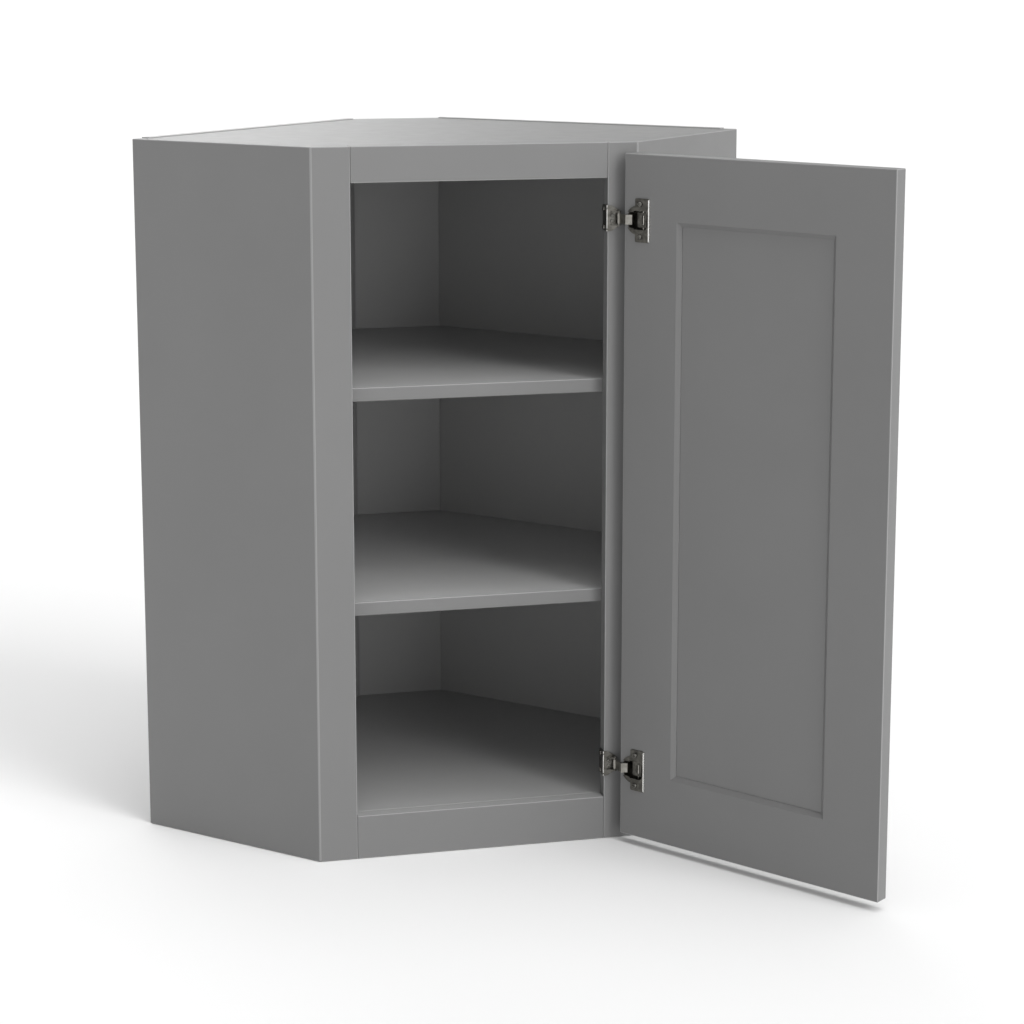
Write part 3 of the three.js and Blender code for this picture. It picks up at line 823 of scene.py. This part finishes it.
def makeScrew(name, kind):
    size = screws[kind]
    screw = cylinder(name, (0, 0, size["rise"] / 2), size["head"], size["rise"], up, 32)
    openForEditing(screw)
    selectFaces(screw, lambda f: f.normal.z < -0.9)
    bpy.ops.mesh.inset(thickness=size["head"] - size["shank"], depth=0)
    shank = (0, 0, -(size["length"] - screws["point"]))
    bpy.ops.mesh.extrude_region_move(TRANSFORM_OT_translate={"value": shank})
    bpy.ops.mesh.extrude_region_move(TRANSFORM_OT_translate={"value": (0, 0, -screws["point"])})
    taper = (screws["pointShare"], screws["pointShare"], 1)
    bpy.ops.transform.resize(value=taper, center_override=(0, 0, -size["length"]))
    onCrown = lambda e: isSharp(e) and all(abs(v.co.z - size["rise"]) < onPlane for v in e.verts)
    selectEdges(screw, onCrown)
    bpy.ops.mesh.bevel(offset=size["crown"], segments=5, profile=0.5, affect="EDGES")
    closeEditing()
    reach, width = 2 * screws["slotReach"], screws["slotWidth"]
    for across in ((reach, width), (width, reach)):
        carve(screw, block("slot", (0, 0, size["rise"]), (*across, 2 * screws["slotDepth"])))
    return screw


def placed(piece, name, place, towards, turn):
    twin = copyOf(piece, name)
    aim = up.rotation_difference(Vector(towards)).to_matrix() @ Matrix.Rotation(math.radians(turn), 3, "Z")
    twin.rotation_euler = aim.to_euler()
    twin.location = place
    return settle(twin)


# bracket, arm and arm pin
arm = {
    "half": 0.0062,
    "thickness": 0.0015,
    "knuckle": 0.0026,
    "curl": 0.0009,
    "knee": (0.0042, -0.0038),
    "tip": (0.010, 0.0012),
    "bead": 0.0012,
    "beadRise": 0.00025,
    "edge": 0.00018,
    "pinRadius": 0.0012,
    "pinPlay": 0.00008,
    "pinHalf": 0.0097,
    "pinEdge": 0.00035,
    "boreLength": 0.04,
    "spare": 0.004,
}
armPivot = Vector(joints["hinge_arm_swing"]["pos_m"])
armPivot.z = upperHeight
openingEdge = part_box("frame_right_stile")[0].x


def openDoorPoint(inset, depth):
    spin = Matrix.Rotation(math.radians(door["angle"]), 3, "Z")
    fromSwing = doorPoint(inset, depth, upperHeight) - Vector((swingPoint.x, swingPoint.y, 0))
    return spin @ fromSwing + Vector((swingPoint.x, swingPoint.y, 0))


def makeArm():
    knee, tip = openDoorPoint(*arm["knee"]), openDoorPoint(*arm["tip"])
    first, second = (knee - armPivot).normalized(), (tip - knee).normalized()
    length = (knee - armPivot).length + arm["spare"]
    turn = math.atan2(first.y, first.x)
    size = (length, arm["thickness"], 2 * arm["half"])
    piece = block("upperHingeArm", armPivot + first * length / 2, size, turn)
    bend = (first + second).normalized()
    trim(piece, knee, bend)
    openForEditing(piece)
    selectFaces(piece, lambda f: f.normal.dot(bend) > 0.99)
    bpy.ops.mesh.extrude_region_move(TRANSFORM_OT_translate={"value": second * (tip - knee).length})
    isFlank = lambda f: abs(f.normal.z) < 0.1 and f.calc_area() > 4 * arm["half"] * arm["thickness"]
    selectFaces(piece, isFlank)
    bpy.ops.mesh.inset(thickness=arm["bead"], depth=-arm["beadRise"], use_even_offset=True)
    closeEditing()
    roundEdges(piece, arm["edge"], 2)
    for centre, radius in ((armPivot, arm["knuckle"]), (tip, arm["curl"])):
        end = cylinder("end", centre, radius, 2 * arm["half"], up, 36)
        roundEdges(end, arm["edge"], 2, least=60)
        carve(piece, end, operation="UNION")
    return carve(piece, armBore())


def armBore():
    return cylinder("bore", armPivot, arm["pinRadius"] + arm["pinPlay"], arm["boreLength"], up, 36)


def makeArmPin():
    pin = cylinder("upperHingeArmPin", armPivot, arm["pinRadius"], 2 * arm["pinHalf"], up, 28)
    roundEdges(pin, arm["pinEdge"], 3, least=60)
    return pin


bracket = {
    "seat": 0.0001,
    "plate": 0.0018,
    "half": 0.0165,
    "depth": 0.017,
    "reach": 0.015,
    "tipHalf": 0.010,
    "cheekStart": 0.004,
    "cheekHalf": 0.0091,
    "cheek": 0.0018,
    "cheekRadius": 0.0024,
    "cheekShoulder": 0.0044,
    "notch": (0.0121, 0.0136),
    "tab": (-0.0147, -0.0128),
    "notchReach": 0.001,
    "notchLeft": 0.0004,
    "frontCorner": 0.0014,
    "backCorner": 0.0016,
    "noseShare": 0.9,
    "edge": 0.0002,
    "bend": 0.0009,
    "bendSlack": 1.02,
    "screwPitch": 0.023,
    "adjusterPitch": 0.0068,
    "adjusterInset": 0.0056,
}


def bracketCheek(end):
    start = openingEdge + bracket["cheekStart"]
    face = frontY - bracket["seat"]
    radius = bracket["cheekRadius"]
    outerHalf, innerHalf = bracket["cheekHalf"], bracket["cheekHalf"] - bracket["cheek"]
    heights = sorted((upperHeight + end * outerHalf, upperHeight + end * innerHalf))
    low = (start, armPivot.y - radius, heights[0])
    high = (armPivot.x + radius, face - bracket["plate"] / 2, heights[1])
    cheek = blockBetween("cheek", low, high)
    shoulder = Vector((start, face - bracket["cheekShoulder"], 0))
    nose = Vector((armPivot.x, armPivot.y - radius, 0))
    run = (nose - shoulder).normalized()
    trim(cheek, shoulder, Vector((run.y, -run.x, 0)))
    isNose = lambda e: runsAlong(e, 2) and e.verts[0].co.y < armPivot.y - radius / 2
    roundEdges(cheek, radius * bracket["noseShare"], 5, isNose)
    return cheek


def makeBracket():
    outer = openingEdge - bracket["seat"]
    face = frontY - bracket["seat"]
    half = bracket["half"]
    piece = blockBetween(
        "upperHingeBracket",
        (outer - bracket["plate"], face - bracket["plate"], upperHeight - half),
        (outer, frontY + bracket["depth"], upperHeight + half),
    )
    front = blockBetween(
        "front",
        (outer - bracket["plate"], face - bracket["plate"], upperHeight - half),
        (openingEdge + bracket["reach"], face, upperHeight + half),
    )
    start = openingEdge + bracket["cheekStart"]
    slope = (half - bracket["tipHalf"]) / (bracket["reach"] - bracket["cheekStart"])
    for end in (1, -1):
        trim(front, (start, 0, upperHeight + end * half), (slope, 0, end))
    roundEdges(front, bracket["frontCorner"], 3, lambda e: isAlongY(e) and e.verts[0].co.x > start)
    isBackCorner = lambda e: runsAlong(e, 0) and e.verts[0].co.y > 0
    roundEdges(piece, bracket["backCorner"], 3, isBackCorner)
    carve(piece, front, operation="UNION")
    bendX, bendY = outer - bracket["plate"], face - bracket["plate"]
    atBend = lambda e: all(abs(v.co.x - bendX) < onLine and abs(v.co.y - bendY) < onLine for v in e.verts)
    roundEdges(piece, bracket["bend"], 3, atBend)
    for end in (1, -1):
        carve(piece, bracketCheek(end), operation="UNION")
    reach, left = bracket["notchReach"], bracket["notchLeft"]
    for low, high in (bracket["notch"], bracket["tab"]):
        near = (bendX - reach, bendY - reach, upperHeight + low)
        far = (outer - left, face - left, upperHeight + high)
        carve(piece, blockBetween("notch", near, far))
    for end in (1, -1):
        carve(piece, screwHole(bracketScrewPlace(end), (1, 0, 0)))
        carve(piece, screwHole(adjusterPlace(end), (0, 1, 0)))
    carve(piece, armBore())
    roundEdges(piece, bracket["edge"], 2, lambda e: e.is_convex)
    return piece


def bracketScrewPlace(end):
    x = openingEdge - 2 * bracket["seat"] - bracket["plate"]
    return Vector((x, 0, upperHeight + end * bracket["screwPitch"] / 2))


def adjusterPlace(end):
    x = openingEdge + bracket["adjusterInset"]
    y = frontY - 2 * bracket["seat"] - bracket["plate"]
    return Vector((x, y, upperHeight + end * bracket["adjusterPitch"] / 2))


def cupScrewPlace(end):
    depth = cup["plateTop"] - bracket["seat"]
    return doorPoint(cup["screwInset"], depth, upperHeight + end * cup["screwPitch"] / 2)


def hingePieces():
    bodies = frame["record"]["behaviour"]["bodies"]
    armPinBody = next(body for body, names in bodies.items() if "upper_hinge_arm_pin" in names)
    pieces = [
        (makeBracket(), "cabinet", "hinge_nickel", nickel, "hinge_bracket"),
        (makeArm(), "hinge_arms", "hinge_nickel", brushedNickel, "hinge_arm"),
        (makeArmPin(), armPinBody, "fastener_zinc", zinc, "hinge_arm_pin"),
        (makeCup(), "door", "hinge_cup_nickel", darkNickel, "hinge_cup"),
        (makeAxle(), "door", "fastener_zinc", zinc, "hinge_cup_axle"),
    ]
    wood, adjuster = makeScrew("woodScrew", "wood"), makeScrew("adjusterScrew", "adjuster")
    for end, label, turn in ((1, "top", 20), (-1, "bottom", 65)):
        title = label.capitalize()
        name = f"upperHingeBracketScrew{title}"
        edgeScrew = placed(wood, name, bracketScrewPlace(end), (-1, 0, 0), turn)
        name = f"upperHingeAdjustingScrew{title}"
        faceScrew = placed(adjuster, name, adjusterPlace(end), (0, -1, 0), turn + 10)
        name = f"upperHingeCupScrew{title}"
        doorScrew = placed(wood, name, cupScrewPlace(end), (0, 1, 0), turn + 25)
        pieces.append((edgeScrew, "cabinet", "fastener_zinc", darkZinc, f"hinge_bracket_screw_{label}"))
        pieces.append((faceScrew, "cabinet", "fastener_zinc", darkZinc, f"hinge_adjusting_screw_{label}"))
        pieces.append((doorScrew, "door", "fastener_zinc", darkZinc, f"hinge_cup_screw_{label}"))
    bpy.data.objects.remove(wood)
    bpy.data.objects.remove(adjuster)
    return pieces


def paintCupHighlights(piece, height):  # painted highlight: the lip folded up at the plate's edge, and the slopes of its mouth, get a near-white metal that stands in for the light they catch
    hingeEdge = openDoorPoint(0, 0)
    inwards = (openDoorPoint(1, 0) - hingeEdge).normalized()
    inset = lambda face: (face.center - hingeEdge).dot(inwards)
    start, end = cup["widening"]
    slack = 2 * cup["edge"]
    low, high = cup["neckHalf"] - slack, cup["mouthHalf"] + slack
    besideMouth = lambda face: low < abs(face.center.z - height) < high
    onSlope = lambda face: start - slack / 2 < inset(face) < end + slack / 2 and besideMouth(face)
    addFinish(piece, highlightMetal, lambda face: inset(face) > cup["lip"][0] or onSlope(face))


def paintBendHighlight(piece):  # painted highlight: the bracket's fold round the stile's corner gets a near-white metal that stands in for the light it catches
    outer = openingEdge - bracket["seat"] - bracket["plate"]
    face = frontY - bracket["seat"] - bracket["plate"]
    reach = bracket["bend"] * bracket["bendSlack"]
    atFold = lambda c: c.x < outer + reach and c.y < face + reach
    addFinish(piece, highlightMetal, lambda f: atFold(f.center) and isNarrow(piece, f, bracket["bend"]))


def makeHinges():
    for piece, body, slot, finish, node in hingePieces():
        lower = copyOf(piece, piece.name.replace("upper", "lower"))
        lower.location.z += dropToLower
        settle(lower)
        for twin, level in ((piece, "upper"), (lower, "lower")):
            if body == "door":
                swingOpen(twin)
            finishPiece(twin, body, finish, [f"{level}_{node}"])
            # painted highlights on the cup's lip and mouth and on the bracket's fold
            if node == "hinge_cup":
                paintCupHighlights(twin, hinge["heights"][level])
            if node == "hinge_bracket":
                paintBendHighlight(twin)


makeHinges()
print("hinges made")


# the shelf pins stay as they are and get their finish
for name, node in nodes.items():
    if "shelf_pin" in name:
        node.data.materials.clear()
        node.data.materials.append(zinc)
print("shelf pins finished")


# studio
studio = {
    "floorSize": 400,
    "floorDrop": 0.0005,
    "floorGrey": 0.86,
    "floorShade": 0.005,
    "floorCloudScale": 1.5,
    "floorRoughness": 0.9,
    "floorShine": 0.1,
    "horizon": 1.04,
    "zenith": 0.42,
    "horizonEnds": (0.1, 0.35),
}
suns = {
    "keyLight": {"from": (0.62, -0.8, 0.75), "spread": 30, "strength": 1.28},
    "frontTop": {"from": (0.14, -0.36, 1.0), "spread": 38, "strength": 0.82},
    "overhead": {"from": (0.05, 0.1, 1.0), "spread": 36, "strength": 0.66},
    "sideFill": {"from": (0.5, -0.86, 0.15), "spread": 35, "strength": 0.72},
    "backLight": {"from": (-0.1, 1.0, 0.3), "spread": 35, "strength": 0.5},
}


def makeFloor():
    deselectAll()
    bpy.ops.mesh.primitive_plane_add(size=studio["floorSize"], location=(0, 0, -studio["floorDrop"]))
    floor = bpy.context.object
    floor.name = "studioFloor"
    material, tree, shader, place = newMaterial("floorPaper")
    grey, shade = studio["floorGrey"], studio["floorShade"]
    cloud = noise(tree, place, studio["floorCloudScale"], 2)
    dark, light = (grey * (1 - shade),) * 3, (grey * (1 + shade),) * 3
    tree.links.new(tinted(tree, cloud, dark, light), shader.inputs["Base Color"])
    shader.inputs["Roughness"].default_value = studio["floorRoughness"]
    shader.inputs["Specular IOR Level"].default_value = studio["floorShine"]
    floor.data.materials.append(material)


def makeSun(name, sun):
    deselectAll()
    direction = Vector(sun["from"]).normalized()
    bpy.ops.object.light_add(type="SUN", rotation=direction.to_track_quat("Z", "Y").to_euler())
    light = bpy.context.object
    light.name = name
    light.data.energy = sun["strength"]
    light.data.angle = math.radians(sun["spread"])


def makeWorld():  # a white horizon that fades to a greyer sky overhead
    world = bpy.data.worlds.new("studioWorld")
    world.use_nodes = True
    tree = world.node_tree
    direction = tree.nodes.new("ShaderNodeTexCoord").outputs["Generated"]
    split = tree.nodes.new("ShaderNodeSeparateXYZ")
    tree.links.new(direction, split.inputs["Vector"])
    brightness = between(
        tree, split.outputs["Z"], studio["horizon"], studio["zenith"], *studio["horizonEnds"]
    )
    background = tree.nodes["Background"]
    background.inputs["Color"].default_value = (1, 1, 1, 1)
    tree.links.new(brightness, background.inputs["Strength"])
    bpy.context.scene.world = world
    bpy.context.scene.view_settings.view_transform = "Standard"
    bpy.context.scene.view_settings.look = "None"


makeFloor()
for name, sun in suns.items():
    makeSun(name, sun)
makeWorld()

# camera
view = {
    "place": (-0.6779, -2.9975, 1.1357),
    "focalPixels": 2469,
    "turn": 13.6,
    "tilt": 10.03,
    "shiftUp": -0.11,
    "pictureWidth": 1024,
    "sensorWidth": 36,
    "farthest": 200,
}


def makeCamera():
    deselectAll()
    turn = (math.radians(90 - view["tilt"]), 0, -math.radians(view["turn"]))
    bpy.ops.object.camera_add(location=view["place"], rotation=turn)
    camera = bpy.context.object
    camera.name = "photoCamera"
    camera.data.sensor_width = view["sensorWidth"]
    camera.data.lens = view["focalPixels"] / view["pictureWidth"] * view["sensorWidth"]
    camera.data.shift_y = view["shiftUp"]
    camera.data.clip_end = view["farthest"]
    bpy.context.scene.camera = camera


makeCamera()
print("studio and camera made")
